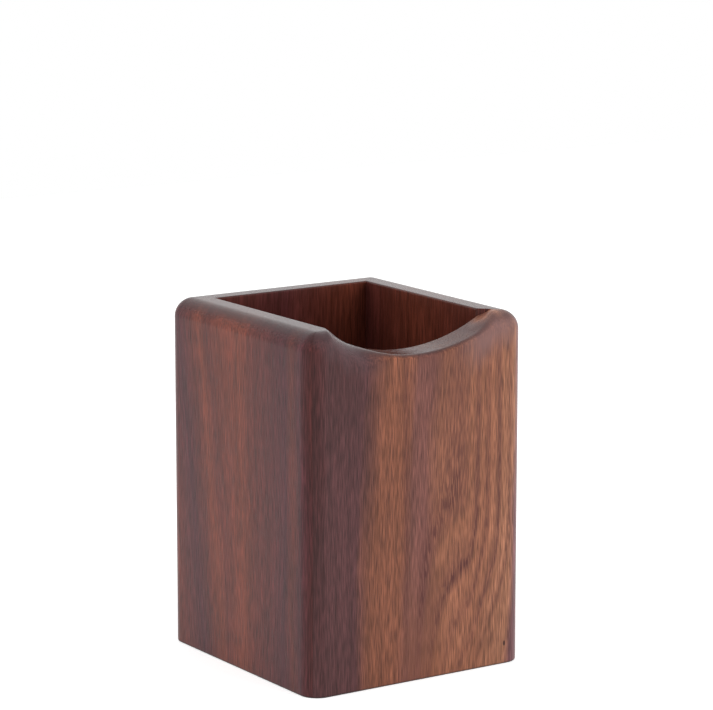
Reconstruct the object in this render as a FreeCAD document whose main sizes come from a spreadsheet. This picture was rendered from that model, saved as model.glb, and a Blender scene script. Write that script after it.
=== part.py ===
import FreeCAD, Part
import os

import Sketcher
from FreeCAD import Placement, Rotation, Vector

# A wooden pen cup: four boards mitred at the corners and glued round a floor, with a scoop in the front rim.
# Millimetres. The origin is the middle of the underside, +Z is up and the scooped front faces -Y.
doc = FreeCAD.newDocument("pen_cup")

# The driving dimensions. Every feature below is bound to these cells.
dimensions = [
    ("width", 71.0, "across the scooped front"),
    ("depth", 74.0, "from front to back"),
    ("height", 100.0, "from the underside to the rim"),
    ("wall", 10.0, "thickness of the four wall boards"),
    ("edge_radius", 5.4, "rounding of the outer corners and the outer rim"),
    ("scoop_width", 58.5, "span of the scoop at the rim"),
    ("scoop_depth", 8.6, "drop of the scoop below the rim"),
    ("scoop_easing", 1.5, "rounding of the scoop's outer arris"),
    ("floor_thickness", 8.0, "thickness of the floor board"),
    ("rabbet_depth", 4.0, "how far the floor is let into each wall"),
    ("floor_clearance", 0.15, "glue gap round the floor in its rabbet"),
    ("arris_easing", 0.5, "easing of the inner rim and of the foot"),
    ("cut_overrun", 3.0, "how far a cut runs past the wood"),
]
sheet = doc.addObject("Spreadsheet::Sheet", "sizes")
for row, (alias, size, note) in enumerate(dimensions, start=1):
    sheet.set(f"A{row}", str(size))
    sheet.setAlias(f"A{row}", alias)
    sheet.set(f"B{row}", note)
doc.recompute()


def value(expression):
    """What an expression on the sheet comes to."""
    return float(sheet.evalExpression(expression))


# Sketches. A corner is a pair of expressions on the sheet, and its two distances from the
# sketch's origin are constraints bound to that pair.

def sketch_on(body, role, name, turn=0):
    """A sketch on one of the body's own origin planes, turned about the plane's normal."""
    sketch = body.newObject("Sketcher::SketchObject", name)
    plane = next(item for item in body.Origin.OriginFeatures if item.Role == role)
    sketch.AttachmentSupport = (plane, [""])
    sketch.MapMode = "FlatFace"
    sketch.AttachmentOffset = Placement(Vector(), Rotation(Vector(0, 0, 1), turn))
    return sketch


def drive(sketch, name, expression, kind, *where):
    """A dimension of the sketch that follows an expression on the sheet."""
    index = sketch.addConstraint(Sketcher.Constraint(kind, *where, value(expression)))
    sketch.renameConstraint(index, name)
    sketch.setExpression(f"Constraints.{name}", expression)


def outline(sketch, corners, arcs=None):
    """A closed outline through the corners. arcs maps an edge's number to its centre and
    radius: such an edge turns anticlockwise about the centre, and the others are straight."""
    arcs = arcs or {}
    points = [Vector(value(x), value(y), 0) for x, y in corners]
    count = len(points)
    for edge, start in enumerate(points):
        end = points[(edge + 1) % count]
        if edge in arcs:
            centre_x, centre_y, radius = arcs[edge]
            centre = Vector(value(centre_x), value(centre_y), 0)
            circle = Part.Circle(centre, Vector(0, 0, 1), value(radius))
            sketch.addGeometry(Part.ArcOfCircle(circle, circle.parameter(start), circle.parameter(end)))
        else:
            sketch.addGeometry(Part.LineSegment(start, end))
    for edge, (x, y) in enumerate(corners):
        sketch.addConstraint(Sketcher.Constraint("Coincident", edge, 2, (edge + 1) % count, 1))
        drive(sketch, f"x{edge}", x, "DistanceX", -1, 1, edge, 1)
        drive(sketch, f"y{edge}", y, "DistanceY", -1, 1, edge, 1)
    for edge, (_, _, radius) in arcs.items():
        drive(sketch, f"radius{edge}", radius, "Radius", edge)


def rectangle(sketch, reach_x, reach_y):
    """A rectangle about the sketch's origin, reach_x and reach_y from it to the sides."""
    left, front = f"-({reach_x})", f"-({reach_y})"
    outline(sketch, [(left, front), (reach_x, front), (reach_x, reach_y), (left, reach_y)])


# Cuts. Each is compared with what it was cut from, because one that points away from the
# wood would leave it whole.

def compute_cut(feature, base):
    """Computes a cut, and stops the build when it takes nothing away."""
    doc.recompute()
    if feature.Shape.isNull() or feature.Shape.Volume >= base.Shape.Volume:
        raise RuntimeError(f"{feature.Name} takes nothing from {base.Name}")


def pocket_up(body, sketch, name, length):
    """Cuts the sketch's area upwards from the underside."""
    base = body.Tip
    pocket = body.newObject("PartDesign::Pocket", name)
    pocket.Profile = sketch
    pocket.Reversed = True
    pocket.setExpression("Length", length)
    compute_cut(pocket, base)


def ease(body, name, radius, is_eased):
    """Rounds each edge that passes the test, which is given its start, middle and end."""
    base = body.Tip
    edges = []
    for number, edge in enumerate(base.Shape.Edges, start=1):
        if edge.Degenerated:
            continue
        first, last = edge.ParameterRange
        if is_eased([edge.valueAt(at) for at in (first, (first + last) / 2, last)]):
            edges.append(f"Edge{number}")
    fillet = body.newObject("PartDesign::Fillet", name)
    fillet.Base = (base, edges)
    fillet.setExpression("Radius", radius)
    compute_cut(fillet, base)


def level(length, expression):
    """Whether a length agrees with an expression on the sheet."""
    agreement_share = 1e-6
    return abs(length - value(expression)) < agreement_share * value("sizes.height")


def at_foot(points):
    return all(level(point.z, "0") for point in points)


# The walls. The glued box is rounded over in one go, so each board is cut from the same
# rounded block: what lies behind its mitres and its inner face is taken away.

def rounded_block(body):
    """The outside of the cup, rounded at its upright corners and round its rim."""
    block = body.newObject("PartDesign::AdditiveBox", body.Label + "_block")
    block.setExpression("Length", "sizes.width")
    block.setExpression("Width", "sizes.depth")
    block.setExpression("Height", "sizes.height")
    block.setExpression("Placement.Base.x", "-sizes.width / 2")
    block.setExpression("Placement.Base.y", "-sizes.depth / 2")
    doc.recompute()
    ease(body, body.Label + "_round_over", "sizes.edge_radius", lambda points: not at_foot(points))
    ease(body, body.Label + "_foot_easing", "sizes.arris_easing", at_foot)


def keep_board(body, half_span, half_reach, turn):
    """Leaves one mitred board of the block. half_span is half the board's length, and
    half_reach runs from the middle of the cup to the board's outer face."""
    inner_x, inner_y = f"{half_span} - sizes.wall", f"{half_reach} - sizes.wall"
    outer_x, outer_y = f"{half_span} + sizes.cut_overrun", f"{half_reach} + sizes.cut_overrun"
    sketch = sketch_on(body, "XY_Plane", body.Label + "_mitres", turn)
    outline(sketch, [
        (f"-({outer_x})", f"-({outer_y})"),
        (f"-({inner_x})", f"-({inner_y})"),
        (inner_x, f"-({inner_y})"),
        (outer_x, f"-({outer_y})"),
        (outer_x, outer_y),
        (f"-({outer_x})", outer_y),
    ])
    pocket_up(body, sketch, body.Label + "_mitre_cut", "sizes.height + sizes.cut_overrun")


# The floor's reach, from the middle of the cup to the upright face of its rabbet.
rabbet_x = "sizes.width / 2 - sizes.wall + sizes.rabbet_depth"
rabbet_y = "sizes.depth / 2 - sizes.wall + sizes.rabbet_depth"


def wall_board(label, half_span, half_reach, turn):
    """One wall, with mitred ends and a step along its foot for the floor."""
    body = doc.addObject("PartDesign::Body", label)
    rounded_block(body)
    keep_board(body, half_span, half_reach, turn)
    sketch = sketch_on(body, "XY_Plane", label + "_rabbet")
    rectangle(sketch, rabbet_x, rabbet_y)
    pocket_up(body, sketch, label + "_rabbet_cut", "sizes.floor_thickness")
    return body


def ease_inner_rim(body, half_reach, turn):
    """Takes the sharpness off a straight board's inner top arris."""
    inwards = Rotation(Vector(0, 0, 1), turn).multVec(Vector(0, 1, 0))

    def on_inner_rim(points):
        return all(
            level(point.z, "sizes.height") and level(point.dot(inwards), f"sizes.wall - {half_reach}")
            for point in points
        )

    ease(body, body.Label + "_rim_easing", "sizes.arris_easing", on_inner_rim)


# The front board alone is scooped, before glue-up: a wide arc that runs out just past the
# inner corners, so a sliver of each side board's mitre shows above it. The cutter is turned
# about an axis through the arc's centre. Its edge flares at both faces of the board, which
# eases the arrises: more outside, where fingers rub, and less inside.

def cut_scoop(body):
    radius = "(pow(sizes.scoop_width / 2; 2) + pow(sizes.scoop_depth; 2)) / (2 * sizes.scoop_depth)"
    lowest = "sizes.height - sizes.scoop_depth"
    axis_height = f"{lowest} + {radius}"
    outer_face, inner_face = "-sizes.depth / 2", "sizes.wall - sizes.depth / 2"
    before_outer, past_inner = f"{outer_face} - sizes.cut_overrun", f"{inner_face} + sizes.cut_overrun"
    outer_centre = (f"{outer_face} + sizes.scoop_easing", f"{lowest} - sizes.scoop_easing")
    inner_centre = (f"{inner_face} - sizes.arris_easing", f"{lowest} - sizes.arris_easing")
    sketch = sketch_on(body, "YZ_Plane", body.Label + "_scoop")
    corners = [
        (before_outer, axis_height),
        (past_inner, axis_height),
        (past_inner, inner_centre[1]),
        (inner_face, inner_centre[1]),
        (inner_centre[0], lowest),
        (outer_centre[0], lowest),
        (outer_face, outer_centre[1]),
        (before_outer, outer_centre[1]),
    ]
    outline(sketch, corners, arcs={
        3: (*inner_centre, "sizes.arris_easing"),
        5: (*outer_centre, "sizes.scoop_easing"),
    })
    base = body.Tip
    groove = body.newObject("PartDesign::Groove", body.Label + "_scoop_cut")
    groove.Profile = sketch
    groove.ReferenceAxis = (sketch, ["Edge1"])
    groove.Midplane = True
    groove.Angle = 180
    compute_cut(groove, base)


# The floor drops into the rabbet from below, flush with the foot of the walls.

def bottom_board():
    body = doc.addObject("PartDesign::Body", "bottom_board")
    sketch = sketch_on(body, "XY_Plane", "bottom_board_outline")
    rectangle(sketch, f"{rabbet_x} - sizes.floor_clearance", f"{rabbet_y} - sizes.floor_clearance")
    pad = body.newObject("PartDesign::Pad", "bottom_board_pad")
    pad.Profile = sketch
    pad.setExpression("Length", "sizes.floor_thickness")
    doc.recompute()
    ease(body, "bottom_board_easing", "sizes.arris_easing", at_foot)
    return body


half_width, half_depth = "sizes.width / 2", "sizes.depth / 2"
front_board = wall_board("front_board", half_width, half_depth, 0)
right_board = wall_board("right_board", half_depth, half_width, 90)
back_board = wall_board("back_board", half_width, half_depth, 180)
left_board = wall_board("left_board", half_depth, half_width, 270)
ease_inner_rim(right_board, half_width, 90)
ease_inner_rim(back_board, half_depth, 180)
ease_inner_rim(left_board, half_width, 270)
cut_scoop(front_board)
boards = [front_board, right_board, back_board, left_board, bottom_board()]
doc.recompute()

# Nothing is written unless every feature computed and every board is one sound solid.
for item in doc.Objects:
    if "Invalid" in item.State or "Error" in item.State:
        raise RuntimeError(f"{item.Name} failed: {item.State}")
for body in boards:
    if body.Shape.isNull() or not body.Shape.isValid() or len(body.Shape.Solids) != 1:
        raise RuntimeError(f"{body.Label} is not one sound solid")

os.makedirs("parts", exist_ok=True)
for body in boards:
    body.Shape.exportStep(f"parts/{body.Label}.step")
    box = body.Shape.BoundBox
    print(f"{body.Label}: {body.Shape.Volume:.1f} mm3, z {box.ZMin:.2f} to {box.ZMax:.2f}")
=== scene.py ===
import math

import bpy
import numpy as np
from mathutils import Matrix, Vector


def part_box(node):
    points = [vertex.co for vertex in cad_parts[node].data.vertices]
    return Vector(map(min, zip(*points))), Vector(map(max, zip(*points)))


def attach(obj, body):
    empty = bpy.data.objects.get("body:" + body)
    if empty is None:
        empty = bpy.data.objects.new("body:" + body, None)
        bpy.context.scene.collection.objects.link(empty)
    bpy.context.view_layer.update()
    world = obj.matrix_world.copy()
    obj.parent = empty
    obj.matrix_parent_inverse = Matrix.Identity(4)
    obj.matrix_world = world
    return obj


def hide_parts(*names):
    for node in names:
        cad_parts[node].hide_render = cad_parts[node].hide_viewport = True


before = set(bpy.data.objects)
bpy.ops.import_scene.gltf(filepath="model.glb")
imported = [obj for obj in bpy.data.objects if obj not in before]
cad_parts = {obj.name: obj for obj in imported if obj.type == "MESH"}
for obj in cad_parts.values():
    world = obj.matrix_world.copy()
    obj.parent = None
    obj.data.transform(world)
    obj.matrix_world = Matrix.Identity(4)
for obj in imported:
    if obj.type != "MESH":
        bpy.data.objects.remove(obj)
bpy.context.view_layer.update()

# The front board. A walnut board with upright grain, mitred at both ends, glued to its
# neighbours and rounded over with them. A shallow scoop for the fingers was cut in its rim
# and sanded by hand, so the scoop's outer arris is crisp in the middle and soft at the ends.

mm = 0.001
half_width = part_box("right_board")[1].x
half_depth = -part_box("front_board")[0].y
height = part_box("front_board")[1].z
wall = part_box("front_board")[1].y + half_depth
floor_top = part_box("bottom_board")[1].z
floor_gap = 0.15 * mm
rabbet = half_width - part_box("bottom_board")[1].x - floor_gap

edge_radius = 5.4 * mm
arris_easing = 0.5 * mm
seam_easing = 0.025 * mm
seam_gap = 0.001 * mm


def smooth(start, end, value):
    """Rises from 0 at start to 1 at end, level at both: the cubic 3 t^2 - 2 t^3 of the share t."""
    share = np.clip((value - start) / (end - start), 0.0, 1.0)
    return share * share * (3.0 - 2.0 * share)


def rim_height(depth):
    """Height of the rim at a depth in from the outer face: a quarter circle up, level, and a
    smaller quarter circle down at the inner face."""
    outer = np.clip(edge_radius - depth, 0.0, edge_radius)
    inner = np.clip(depth - wall + arris_easing, 0.0, arris_easing)
    rise = np.sqrt(edge_radius**2 - outer**2) - edge_radius
    return height + rise + np.sqrt(arris_easing**2 - inner**2) - arris_easing


scoop_half_width = 29.25 * mm
scoop_drop = 8.6 * mm
scoop_radius = (scoop_half_width**2 + scoop_drop**2) / (2 * scoop_drop)
scoop_axis = height - scoop_drop + scoop_radius
crisp_easing = 1.4 * mm
left_easing = 6.5 * mm
right_easing = 3.0 * mm


def scoop_height(across, depth):
    """Height of the scoop: an arc about scoop_axis, whose radius grows by a quarter circle's drop
    where the arrises turn down. Towards its ends the arc is read a little further out, which makes
    them steeper: on the right at the outer face only, and on the left all through, most of all at
    the inner face. The outer easing widens smoothly from the crisp middle to both ends."""
    inwards = smooth(4 * mm, 9 * mm, depth)
    right = 2.3 * mm * smooth(19 * mm, 27 * mm, across) * (1 - inwards)
    left = 2.5 * mm * smooth(20 * mm, 32 * mm, -across)
    left = left + 1.0 * mm * smooth(5 * mm, 20 * mm, -across)
    left = left + 1.7 * mm * smooth(20 * mm, 25.5 * mm, -across) * inwards
    easing = crisp_easing + (left_easing - crisp_easing) * smooth(8 * mm, 20 * mm, -across)
    easing = easing + (right_easing - crisp_easing) * smooth(18 * mm, 26 * mm, across)
    outer = np.clip(easing - depth, 0.0, easing)
    inner = np.clip(depth - wall + arris_easing, 0.0, arris_easing)
    flare = easing - np.sqrt(easing**2 - outer**2)
    flare = flare + arris_easing - np.sqrt(arris_easing**2 - inner**2)
    radius = scoop_radius + flare
    reach = np.minimum(np.abs(across) + right + left, radius)
    return scoop_axis - np.sqrt(radius**2 - reach**2)


def scooped_crest(across, depth):
    """Top of the front board: the lower of the rim and the scoop. Where their heights differ by
    less than rubbed, the angle is rubbed down by the square of how near they are."""
    rubbed = 0.5 * mm
    rim, scoop = rim_height(depth), scoop_height(across, depth)
    nearness = np.clip(1 - np.abs(rim - scoop) / rubbed, 0.0, 1.0)
    return np.minimum(rim, scoop) - nearness**2 * rubbed / 4


def spaced(*stops):
    """Places along a line, evenly spaced from each stop to the next: (place, steps to the next)."""
    runs = [
        np.linspace(start, end, steps, endpoint=False)
        for (start, steps), (end, _) in zip(stops, stops[1:])
    ]
    return np.append(np.concatenate(runs), stops[-1][0])


def board_points(half_span, crest, columns):
    """Points of a mitred board that lies along x, depth in y from the outer face. A closed profile
    of depth and height is carried along the offsets of the rounded box's outline: each offset runs
    straight and then turns, with radius edge_radius less the depth, to the mitre. columns says
    how far along its offset each column stands, as a share of the offset's half length."""
    eighth = math.pi / 4

    def along(depth):
        """Distance along x, and distance in from the outer face, of each column at each depth."""
        turning = np.clip(edge_radius - depth, 0.0, None)
        straight = half_span - np.maximum(depth, edge_radius)
        path = columns * (straight + eighth * turning)
        angle = np.clip(np.abs(path) - straight, 0.0, None) / np.maximum(turning, 1e-9)
        across = np.sign(path) * (np.minimum(np.abs(path), straight) + turning * np.sin(angle))
        return across, np.maximum(depth, edge_radius) - turning * np.cos(angle)

    quarter = np.linspace(0.0, math.pi / 2, 8)
    rounding = edge_radius * (1 - np.cos(np.linspace(0.0, math.pi / 2, 41)))
    ledge = np.linspace(edge_radius, wall - arris_easing, 16)
    arris = wall - arris_easing * (1 - np.sin(quarter))
    rise, drop = np.linspace(0.0, 1.0, 60)[:, None], np.linspace(0.0, 1.0, 40)[:, None]
    flat = np.zeros_like(columns)

    foot = np.append([rabbet, (rabbet + arris_easing) / 2], arris_easing * (1 - np.sin(quarter)))
    top = np.concatenate([rounding, ledge[1:], arris[1:]])
    groove = np.array([wall, (wall + rabbet) / 2, rabbet, rabbet])
    face_depths, inside_depths = 0 * rise[1:-1, 0], wall + 0 * drop[1:-1, 0]
    profile = np.concatenate([foot, face_depths, top, inside_depths, groove])
    depths = profile[:, None] + flat
    across, inward = along(depths)

    first, last = len(foot) + len(rise) - 2, len(foot) + len(rise) - 2 + len(top)
    lifts = np.append([0.0, 0.0], arris_easing * (1 - np.cos(quarter)))[:, None] + flat
    crests = crest(across[first:last], depths[first:last])
    face = arris_easing + rise[1:-1] * (crests[0] - arris_easing)
    inside = crests[-1] + drop[1:-1] * (floor_top - crests[-1])
    below = np.array([floor_top, floor_top, floor_top, floor_top / 2])[:, None] + flat
    return np.stack([across, inward, np.concatenate([lifts, face, crests, inside, below])], -1)


def board(name, half_span, half_reach, turn, crest):
    """A mitred board as a closed mesh, turned about the upright axis to its side of the cup. Its
    columns are closer together towards the mitres, and the last one at each end is sunk under the
    surface against its outward direction, so that two boards meet in a fine groove."""
    rounded = half_span - edge_radius + math.pi / 4 * edge_radius
    ends = spaced(
        (0.0, 14),
        (14 * mm, 24),
        (rounded - 11 * mm, 26),
        (rounded - 4.5 * mm, 20),
        (rounded - seam_easing, 0),
    )
    columns = np.concatenate([-ends[:0:-1], ends]) / rounded
    grid = board_points(half_span, crest, columns[None, :])
    edge = 1 - seam_gap / rounded
    sunk = board_points(half_span, crest, np.array([[-edge, edge]]))
    up, out = np.roll(grid, -1, 0) - np.roll(grid, 1, 0), np.gradient(grid, axis=1)
    outward = np.cross(out, up)[:, [0, -1]]
    outward /= np.linalg.norm(outward, axis=-1, keepdims=True)
    sunk -= seam_easing * outward
    grid = np.concatenate([sunk[:, :1], grid, sunk[:, 1:]], 1)

    rows, count = grid.shape[:2]
    corner = np.arange(rows)[:, None] * count + np.arange(count - 1)[None, :]
    above = np.roll(corner, -1, 0)
    quads = np.stack([corner, corner + 1, above + 1, above], -1).reshape(-1, 4)
    caps = [(np.arange(rows) * count).tolist(), (np.arange(rows)[::-1] * count + count - 1).tolist()]
    x, y = grid[..., 0], grid[..., 1] - half_reach
    turned_x = x * math.cos(turn) - y * math.sin(turn)
    turned_y = x * math.sin(turn) + y * math.cos(turn)
    turned = np.stack([turned_x, turned_y, grid[..., 2]], -1)

    mesh = bpy.data.meshes.new(name)
    mesh.from_pydata(turned.reshape(-1, 3), [], quads.tolist() + caps)
    mesh.shade_smooth()
    mesh.set_sharp_from_angle(angle=math.radians(40))
    made = bpy.data.objects.new(name, mesh)
    bpy.context.scene.collection.objects.link(made)
    return made


def tone(red, green, blue):
    """The linear colour that these 0 to 255 values of a colour card stand for."""
    card = np.array([red, green, blue]) / 255
    linear = np.where(card <= 0.04045, card / 12.92, ((card + 0.055) / 1.055) ** 2.4)
    return (*linear, 1.0)


class Finish:
    """A finish and its nodes. A socket or a plain value may be given wherever a node takes an input."""

    def __init__(self, name):
        self.material = bpy.data.materials.new(name)
        self.material.use_nodes = True
        self.tree = self.material.node_tree
        self.shader = self.tree.nodes["Principled BSDF"]

    def give(self, socket, source):
        """Links the source to the socket, or writes it there if it is a plain value."""
        if isinstance(source, bpy.types.NodeSocket):
            self.tree.links.new(source, socket)
        else:
            socket.default_value = source

    def node(self, kind, inputs, output=0, **settings):
        """Makes a node with its settings and inputs, and returns one of its outputs."""
        made = self.tree.nodes.new(kind)
        for setting, choice in settings.items():
            setattr(made, setting, choice)
        for name, source in inputs.items():
            self.give(made.inputs[name], source)
        return made.outputs[output]

    def math(self, operation, *values):
        """One step of arithmetic."""
        return self.node("ShaderNodeMath", dict(enumerate(values)), operation=operation)

    def vector(self, operation, first, second):
        """One step of arithmetic on all three directions at once."""
        return self.node("ShaderNodeVectorMath", {0: first, 1: second}, operation=operation)

    def combine(self, x, y, z):
        """A place, or a grey, from its three values."""
        return self.node("ShaderNodeCombineXYZ", {"X": x, "Y": y, "Z": z})

    def noise(self, place, width, length, shift, detail=2.0):
        """Noise from 0 to 1 about 0.5, in threads of that width across the grain and length along it."""
        stretched = self.vector("MULTIPLY", place, (1 / width, 1 / width, 1 / length))
        moved = self.vector("ADD", stretched, shift)
        return self.node("ShaderNodeTexNoise", {"Vector": moved, "Scale": 1.0, "Detail": detail})

    def ramp(self, value, start, end, low=0.0, high=1.0, interpolation="SMOOTHSTEP"):
        """Goes from low at start to high at end."""
        inputs = {"Value": value, "From Min": start, "From Max": end, "To Min": low, "To Max": high}
        return self.node("ShaderNodeMapRange", inputs, interpolation_type=interpolation)

    def length(self, x, y):
        """Distance from the middle of a plane: the root of x squared plus y squared."""
        offset = {0: self.combine(x, y, 0.0)}
        return self.node("ShaderNodeVectorMath", offset, 1, operation="LENGTH")

    def mix(self, factor, first, second, blend="MIX"):
        """Blends two colours: the first where the factor is 0, the second where it is 1."""
        inputs = {0: factor, 6: first, 7: second}
        return self.node("ShaderNodeMix", inputs, 2, data_type="RGBA", blend_type=blend)

    def bands(self, value, start, end, stops):
        """Colours by place: stops are (place, colour), and start and end are the outermost places."""
        made = self.tree.nodes.new("ShaderNodeValToRGB")
        self.give(made.inputs[0], self.ramp(value, start, end, interpolation="LINEAR"))
        elements = made.color_ramp.elements
        for _ in stops[2:]:
            elements.new(0.5)
        for element, (place, colour) in zip(elements, stops):
            element.position = (place - start) / (end - start)
            element.color = colour
        return made.outputs[0]


def walnut(name, half_span, half_reach, turn, stops, seed, drift=None, figure=None, lying=False):
    """Oiled walnut for one board. The pattern lies in the board's own millimetres: across it, in
    from its outer face and up. stops are the broad bands of colour across the board, and drift
    says how far they have moved across at a place. figure, if there is one, holds three functions:
    where the growth rings run, how they are marked, and how much the end grain shows. The grain of
    a lying board runs along x instead of up. seed moves the noises, so that no boards are alike."""
    wood = Finish(name)
    placing = {
        "Vector": wood.node("ShaderNodeTexCoord", {}, "Object"),
        "Location": (0, half_reach / mm, 0),
        "Rotation": (0, 0, -turn),
        "Scale": (1 / mm,) * 3,
    }
    place = wood.node("ShaderNodeMapping", placing)
    across, inward, up = wood.node("ShaderNodeSeparateXYZ", {"Vector": place}).node.outputs[:3]
    if lying:
        across, inward, up = inward, up, across
        place = wood.combine(across, inward, up)

    # The grain moves across a little with depth, and wanders in three sizes of wave, each given by
    # its width, its length and how far it reaches. What follows the grain is read at that place.
    sway = wood.math("MULTIPLY", inward, 0.35)
    for width, length, reach, shift in [
        (16, 60, 4.5, (seed, 3, 1)),
        (3.5, 22, 1.3, (seed, 7, 5)),
        (1.0, 16, 0.3, (seed, 9, 2)),
    ]:
        wave = wood.noise(place, width, length, shift)
        sway = wood.math("ADD", sway, wood.math("MULTIPLY_ADD", wave, 2 * reach, -reach))
    grain = wood.math("ADD", across, sway)
    if drift:
        grain = wood.math("SUBTRACT", grain, drift(wood, across, up))
    thread = wood.combine(grain, inward, up)
    calm = wood.math("MULTIPLY_ADD", sway, 0.2, across)
    upright = wood.combine(calm, inward, up)
    ring = figure[0](wood, calm, up) if figure else grain

    # The broad bands are made lighter and darker by rings, threads, single fibres and mottling.
    colour = wood.bands(grain, -40, 40, stops)
    broad = wood.noise(wood.combine(ring, inward, up), 2.0, 75, (seed, 11, 2))
    fine = wood.noise(thread, 0.7, 17, (seed, 13, 4))
    fibre = wood.noise(upright, 0.29, 5.2, (seed, 17, 8), 1.0)
    mottle = wood.noise(place, 9, 22, (seed, 19, 6))
    light = wood.ramp(broad, 0.32, 0.68, 0.78, 1.22, "LINEAR")
    light = wood.math("MULTIPLY", light, wood.ramp(fine, 0.30, 0.70, 0.88, 1.12, "LINEAR"))
    light = wood.math("MULTIPLY", light, wood.ramp(fibre, 0.33, 0.67, 0.60, 1.42, "LINEAR"))
    light = wood.math("MULTIPLY", light, wood.ramp(mottle, 0.30, 0.70, 0.88, 1.12, "LINEAR"))
    colour = wood.mix(1.0, colour, wood.combine(light, light, light), "MULTIPLY")

    # Pores are short dark dashes along the grain, crowded in some of the rings.
    dashes = wood.noise(upright, 0.28, 5.5, (seed, 23, 9), 0.0)
    crowding = wood.ramp(wood.noise(thread, 2.4, 60, (seed, 29, 3)), 0.35, 0.65, 0.0, 0.08)
    pores = wood.ramp(wood.math("ADD", dashes, crowding), 0.62, 0.76)
    colour = wood.mix(wood.math("MULTIPLY", pores, 0.4), colour, tone(66, 33, 33))
    if figure:
        colour = figure[1](wood, ring, upright, across, inward, up, colour)

    # Painted shade: the inner faces of the well are painted darker and redder, for the shade that falls
    # inside the cup.
    inside = wood.ramp(inward, wall / mm - 0.6, wall / mm - 0.1, 0.0, 0.4)
    colour = wood.mix(inside, colour, tone(76, 33, 17))

    # End grain, where the surface faces along the grain, drinks more oil: darker and greyer. The
    # arris of an upright board's foot is painted darkest, a painted contact shadow along the floor.
    normal = wood.node("ShaderNodeNewGeometry", {}, "Normal")
    facing = wood.node("ShaderNodeSeparateXYZ", {"Vector": normal}, 0 if lying else 2)
    end = wood.ramp(wood.math("ABSOLUTE", facing), 0.35, 0.95)
    if figure:
        underside = wood.ramp(facing, -0.3, -0.1, 1.0, 0.0)
        share = wood.math("MAXIMUM", underside, figure[2](wood, across, inward))
        end = wood.math("MULTIPLY", end, share)
    colour = wood.mix(wood.math("MULTIPLY", end, 0.65), colour, tone(58, 38, 41))
    if not lying:
        foot = wood.ramp(up, 0.15, 0.7, 0.8, 0.0)
        foot = wood.math("MULTIPLY", foot, wood.ramp(facing, -0.99, -0.9))
        colour = wood.mix(foot, colour, tone(34, 20, 20))

    # Old glue shows as a dark line in the mitre, where across and inward add up to half the span.
    to_middle = wood.math("SUBTRACT", half_span / mm, wood.math("ABSOLUTE", across))
    seam = wood.math("SUBTRACT", to_middle, inward)
    glue = wood.ramp(seam, 0.0, 0.7, 1.0, 0.0)
    colour = wood.mix(wood.math("MULTIPLY", glue, 0.2), colour, tone(50, 32, 30))
    wood.give(wood.shader.inputs["Base Color"], colour)

    # A satin oil: smoother on the end grain, with the fibres proud and the pores sunk.
    rough = wood.ramp(fine, 0.25, 0.75, 0.31, 0.41, "LINEAR")
    wood.give(wood.shader.inputs["Roughness"], wood.math("MULTIPLY_ADD", end, -0.24, rough))
    wood.shader.inputs["IOR"].default_value = 1.3
    relief = wood.math("MULTIPLY_ADD", fibre, 0.4, wood.math("MULTIPLY", pores, -0.8))
    bump = {"Height": relief, "Distance": 0.05 * mm, "Strength": 0.6}
    wood.give(wood.shader.inputs["Normal"], wood.node("ShaderNodeBump", bump))
    return wood.material


def leaning_rings(wood, across, up):
    """Where the rings of the front board run: upright on its left, while on its right they start
    nearer the middle and lean over as they rise. The shift grows with place, up to a limit, and
    with height, by a smooth step whose middle sinks towards the right."""
    shift = wood.math("MULTIPLY_ADD", across, 0.85, 3.0)
    shift = wood.math("MINIMUM", wood.math("MAXIMUM", shift, 0.0), 17.0)
    middle = wood.math("MULTIPLY_ADD", across, -0.7, 24.0)
    risen = wood.ramp(wood.math("SUBTRACT", up, middle), -40, 40)
    return wood.math("SUBTRACT", across, wood.math("MULTIPLY", shift, risen))


def oblique_grain(wood, across, inward):
    """Share of the end-grain look on the front board: little in a patch at the right end of the
    scoop, where the rounding runs along the fibres rather than across them and stays orange. The
    painted sheen is thinned by it in the same patch."""
    away = wood.length(wood.math("SUBTRACT", across, 27.0), wood.math("SUBTRACT", inward, 7.0))
    return wood.ramp(away, 2.5, 6.5, 0.15, 1.0)


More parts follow.
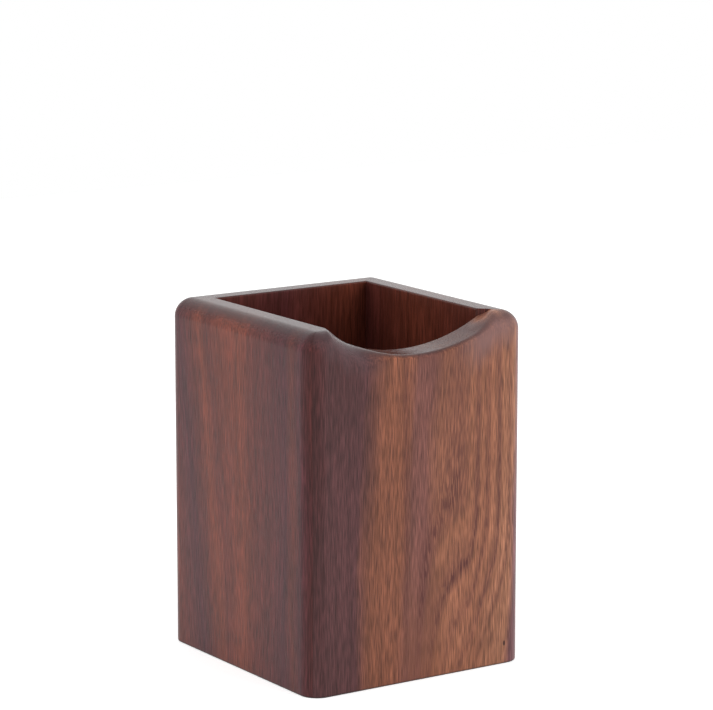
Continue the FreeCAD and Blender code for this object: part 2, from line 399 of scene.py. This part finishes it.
def ring_lines(wood, ring, upright, across, inward, up, colour):
    """Marks the front board: its middle turns warmer towards the foot, a dusky shade and rows of dark
    strokes lie where each of a few years' growth began, the ends of the scoop get a painted sheen,
    a grey veil that is lighter on the right, and there is one pin knot near the foot, on the right."""
    aside = wood.math("ABSOLUTE", wood.math("SUBTRACT", across, 1.0))
    warmth = wood.ramp(up, 8, 46, 0.45, 0.0)
    warmth = wood.math("MULTIPLY", warmth, wood.ramp(aside, 3, 9, 1.0, 0.0))
    colour = wood.mix(warmth, colour, tone(136, 84, 62))

    # Each year's growth begins at a place on the rings, some more strongly than others.
    bare = (0, 0, 0, 1)
    shades, rows = [], []
    for middle, depth in [(-4.5, 0.6), (-1.0, 0.9), (2.5, 1.0), (6.0, 0.7), (9.7, 1.0), (13.4, 0.6)]:
        full = (depth, depth, depth, 1)
        shades += [(middle - 2.3, bare), (middle, full), (middle + 1.0, bare)]
        rows += [(middle - 1.3, bare), (middle - 0.1, full), (middle + 0.7, bare)]
    above_foot = wood.ramp(up, 4, 28, 0.4, 1.0)
    shade = wood.math("MULTIPLY", above_foot, 0.4)
    shade = wood.math("MULTIPLY", wood.bands(ring, -10, 30, shades), shade)
    colour = wood.mix(shade, colour, tone(98, 58, 56))
    strokes = wood.ramp(wood.noise(upright, 0.42, 3.6, (41, 5, 3), 0.0), 0.44, 0.58)
    row = wood.math("MULTIPLY", wood.bands(ring, -10, 30, rows), strokes)
    fading = wood.math("MULTIPLY", above_foot, wood.ramp(up, 40, 80, 0.85, 0.35))
    colour = wood.mix(wood.math("MULTIPLY", row, fading), colour, tone(78, 38, 39))

    # Painted sheen: the ends of the scoop are painted with a grey veil, lighter on the right, for the
    # reflection of the white room. It starts a little below the scoop's arc, read as its lowest height
    # plus across squared over 108, along an uneven line, and away from the middle.
    arc = wood.math("MULTIPLY_ADD", wood.math("MULTIPLY", across, across), 1 / 108, 91.4)
    uneven = wood.math("MULTIPLY_ADD", wood.noise(upright, 5, 12, (43, 6, 2)), 9.0, -4.5)
    uneven = wood.math("ADD", uneven, wood.ramp(across, 0, 20, 0.0, 4.0))
    above_arc = wood.math("ADD", wood.math("SUBTRACT", up, arc), uneven)
    painted_sheen = wood.ramp(above_arc, -8.0, 2.0, 0.0, 0.75)
    painted_sheen = wood.math("MULTIPLY", painted_sheen, wood.ramp(wood.math("ABSOLUTE", across), 9, 22))
    painted_sheen = wood.math("MULTIPLY", painted_sheen, oblique_grain(wood, across, inward))
    sheen_tones = wood.bands(across, -36, 36, [(-15, tone(98, 78, 82)), (15, tone(134, 102, 100))])
    colour = wood.mix(painted_sheen, colour, sheen_tones)

    knot_across, knot_up = 28.9, 6.0
    sideways = wood.math("MULTIPLY_ADD", across, 2.2, -2.2 * knot_across)
    upwards = wood.math("MULTIPLY_ADD", up, 1.1, -1.1 * knot_up)
    knot = wood.ramp(wood.length(sideways, upwards), 0.5, 1.1, 0.9, 0.0)
    return wood.mix(knot, colour, tone(46, 24, 24))


def risen_right(wood, across, up):
    """How far the bands of the front board have moved across: a little to the right as they rise."""
    return wood.math("MULTIPLY_ADD", up, 0.05, -2.5)


# Painted shade: near_corner_shade darkens the near rounded corner, where the front and left boards meet,
# for the shade that falls there.
near_corner_shade = tone(76, 37, 36)
dark = tone(82, 50, 51)
orange = tone(132, 81, 61)
purplish = tone(118, 75, 67)
light = tone(147, 95, 72)
pale = tone(160, 109, 84)
# Painted sheen: mauve_edge_sheen greys the rounded corner at the right end of the front board, for the
# grazing reflection of the white room there.
mauve_edge_sheen = tone(110, 70, 73)
front_bands = [
    # The left end of the front board gets the painted shade of the near corner.
    (-36.0, near_corner_shade),
    (-31.0, dark),
    (-19.5, dark),
    (-13.5, orange),
    (-6.0, orange),
    (-3.0, purplish),
    (2.0, purplish),
    (7.0, light),
    (22.0, light),
    (30.5, pale),
    (33.4, mauve_edge_sheen),
    (36.0, mauve_edge_sheen),
]
front_wall = board("front_wall", half_width, half_depth, 0.0, scooped_crest)
front_figure = (leaning_rings, ring_lines, oblique_grain)
front_walnut = walnut(
    "walnut_front", half_width, half_depth, 0.0, front_bands, 1.0, risen_right, front_figure
)
front_wall.data.materials.append(front_walnut)
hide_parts("front_board")
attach(front_wall, "root")

# The right, back and left boards. Redder and plainer walnut from the next plank, mitred and
# glued to the front. Their rims run on level, so each shows a small step where the scoop meets
# the mitre.


def plain_crest(across, depth):
    """Top of a board without the scoop: the rim alone."""
    return rim_height(depth) + 0 * across


def swung_back(wood, across, up):
    """How far the bands of the left board have moved across: near the back they swing backwards
    as they rise."""
    share = wood.ramp(across, -10, 0, -0.15, 0.0)
    return wood.math("MULTIPLY", share, wood.math("SUBTRACT", up, 45.0))


brown = tone(97, 48, 42)
streak = tone(117, 59, 45)
dusky = tone(79, 40, 45)
right_bands = [(-36.0, streak), (-30.0, brown), (8.0, streak), (22.0, brown), (36.0, dusky)]
back_bands = [(-36.0, brown), (-16.0, streak), (6.0, dusky), (36.0, brown)]
left_bands = [
    (-36.0, brown),
    (-24.0, dusky),
    (-17.0, brown),
    (-13.0, streak),
    (-9.0, brown),
    (2.0, streak),
    (8.0, brown),
    (24.0, dusky),
    (28.0, brown),
    (32.0, dusky),
    # The front end of the left board gets the painted shade of the near corner.
    (37.0, near_corner_shade),
]
sides = [
    ("right", half_depth, half_width, 0.5 * math.pi, right_bands, None),
    ("back", half_width, half_depth, math.pi, back_bands, None),
    ("left", half_depth, half_width, 1.5 * math.pi, left_bands, swung_back),
]
for seed, (side, half_span, half_reach, turn, stops, drift) in enumerate(sides, start=2):
    side_wall = board(side + "_wall", half_span, half_reach, turn, plain_crest)
    side_walnut = walnut("walnut_" + side, half_span, half_reach, turn, stops, 5.3 * seed, drift)
    side_wall.data.materials.append(side_walnut)
    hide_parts(side + "_board")
    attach(side_wall, "root")

# The floor board. Plain walnut, sawn with its grain from side to side and let into the walls'
# rabbets from below, so only its middle shows at the bottom of the well.

floor_x, floor_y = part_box("bottom_board")[1].x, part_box("bottom_board")[1].y


def floor_surface():
    """The floor board as one closed skin: a rectangle's outline is shrunk towards the middle in
    steps, first up the foot's quarter-circle easing, then up the sides, then in over the top, and
    back under from the foot to the middle."""
    quarter = np.linspace(0.0, math.pi / 2, 6)
    drawn = np.concatenate([arris_easing * (1 - np.sin(quarter)), np.zeros(8)])
    lift = np.concatenate([arris_easing * (1 - np.cos(quarter)), np.linspace(0.1, 1.0, 8) * floor_top])
    shrink = np.concatenate([[1.0, 0.5], np.zeros(14), [0.25, 0.5, 0.75, 1.0]])
    drawn = np.concatenate([[0.0, 0.0], drawn, [0.0] * 4])
    lift = np.concatenate([[0.0, 0.0], lift, [floor_top] * 4])
    side = np.linspace(-1.0, 1.0, 24, endpoint=False)
    one = np.ones_like(side)
    around_x = np.concatenate([side, one, -side, -one])
    around_y = np.concatenate([-one, side, one, -side])
    around = np.stack([around_x, around_y], -1)
    nearly_shut = 1 - 0.999 * shrink[:, None, None]
    reach = (np.array([floor_x, floor_y]) - drawn[:, None])[:, None, :] * nearly_shut
    spread = around[None] * reach
    return np.concatenate([spread, np.broadcast_to(lift[:, None, None], spread.shape[:2] + (1,))], -1)


skin = floor_surface()
rows, count = skin.shape[:2]
corner = np.arange(rows - 1)[:, None] * count + np.arange(count)[None, :]
beside = np.arange(rows - 1)[:, None] * count + (np.arange(count)[None, :] + 1) % count
quads = np.stack([corner, beside, beside + count, corner + count], -1).reshape(-1, 4).tolist()
caps = [list(range(count))[::-1], list(range((rows - 1) * count, rows * count))]
floor_skin = bpy.data.meshes.new("floor_panel")
floor_skin.from_pydata(skin.reshape(-1, 3), [], quads + caps)
floor_skin.shade_smooth()
floor_skin.set_sharp_from_angle(angle=math.radians(40))
floor_panel = bpy.data.objects.new("floor_panel", floor_skin)
bpy.context.scene.collection.objects.link(floor_panel)
floor_bands = [(-36.0, brown), (-10.0, streak), (12.0, dusky), (36.0, brown)]
no_mitre = 1.0
floor_walnut = walnut("walnut_floor", no_mitre, 0.0, 0.0, floor_bands, 31.0, lying=True)
floor_panel.data.materials.append(floor_walnut)
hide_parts("bottom_board")
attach(floor_panel, "root")

# The studio. A white floor under the cup, a white room round it, soft light from above and both
# sides, and the camera at the photograph's viewing angle.

floor_half = 0.85
floor_mesh = bpy.data.meshes.new("studio_floor")
floor_corners = [(-1, -1), (1, -1), (1, 1), (-1, 1)]
floor_places = [(floor_half * x, floor_half * y, 0) for x, y in floor_corners]
floor_mesh.from_pydata(floor_places, [], [(0, 1, 2, 3)])
studio_floor = bpy.data.objects.new("studio_floor", floor_mesh)
bpy.context.scene.collection.objects.link(studio_floor)


def looked_at(finish):
    """1 where the camera, a gloss or a glass looks at the surface, and 0 where light falls on it."""
    path = finish.tree.nodes.new("ShaderNodeLightPath").outputs
    looked = finish.math("MAXIMUM", path["Is Camera Ray"], path["Is Glossy Ray"])
    return finish.math("MAXIMUM", looked, path["Is Transmission Ray"])


white_paint = Finish("studio_white")
white_paint.give(white_paint.shader.inputs["Base Color"], tone(236, 236, 236))
white_paint.shader.inputs["Roughness"].default_value = 1.0
white_paint.shader.inputs["Specular IOR Level"].default_value = 0.0
white_paint.shader.inputs["Emission Color"].default_value = (1, 1, 1, 1)
glow = white_paint.math("MULTIPLY", looked_at(white_paint), 0.55)
white_paint.give(white_paint.shader.inputs["Emission Strength"], glow)
floor_mesh.materials.append(white_paint.material)


class Room(Finish):
    """The room's walls and ceiling, whose nodes are made as a finish's are."""

    def __init__(self, name):
        self.world = bpy.data.worlds.new(name)
        self.world.use_nodes = True
        self.tree = self.world.node_tree
        self.shader = self.tree.nodes["Background"]


white_room = Room("studio")
white_room.shader.inputs["Color"].default_value = (1, 1, 1, 1)
strength = white_room.ramp(looked_at(white_room), 0.0, 1.0, 0.25, 1.0, "LINEAR")
white_room.give(white_room.shader.inputs["Strength"], strength)
bpy.context.scene.world = white_room.world

# The lamps stay out of reflections, so the satin oil mirrors only the white room.
cup_middle = Vector((0, 0, height / 2))
for name, place, size, watts in [
    ("above", (0.0, 0.3, 1.1), 1.6, 8.0),
    ("left", (-1.3, 0.2, 0.6), 1.4, 9.5),
    ("right", (0.8, -1.1, 0.6), 1.4, 16.0),
]:
    lamp = bpy.data.lights.new(name, "AREA")
    lamp.shape = "SQUARE"
    lamp.size = size
    lamp.energy = watts
    softbox = bpy.data.objects.new(name, lamp)
    softbox.location = place
    softbox.visible_glossy = False
    softbox.rotation_euler = (cup_middle - Vector(place)).to_track_quat("-Z", "Y").to_euler()
    bpy.context.scene.collection.objects.link(softbox)

# The camera stands back from a point on the cup's axis, and a small shift frames the cup low.
azimuth, elevation = math.radians(-33.69), math.radians(10.87)
aim_height, distance = 86.473 * mm, 0.9074
level = math.cos(elevation)
back = Vector((math.sin(azimuth) * level, -math.cos(azimuth) * level, math.sin(elevation)))
camera = bpy.data.objects.new("camera", bpy.data.cameras.new("camera"))
camera.location = Vector((0, 0, aim_height)) + distance * back
camera.rotation_euler = (-back).to_track_quat("-Z", "Y").to_euler()
camera.data.sensor_width = 36
camera.data.lens = 163.8
camera.data.shift_x = 0.0165
camera.data.shift_y = -0.0061
bpy.context.scene.collection.objects.link(camera)
bpy.context.scene.camera = camera
bpy.context.scene.view_settings.view_transform = "Standard"
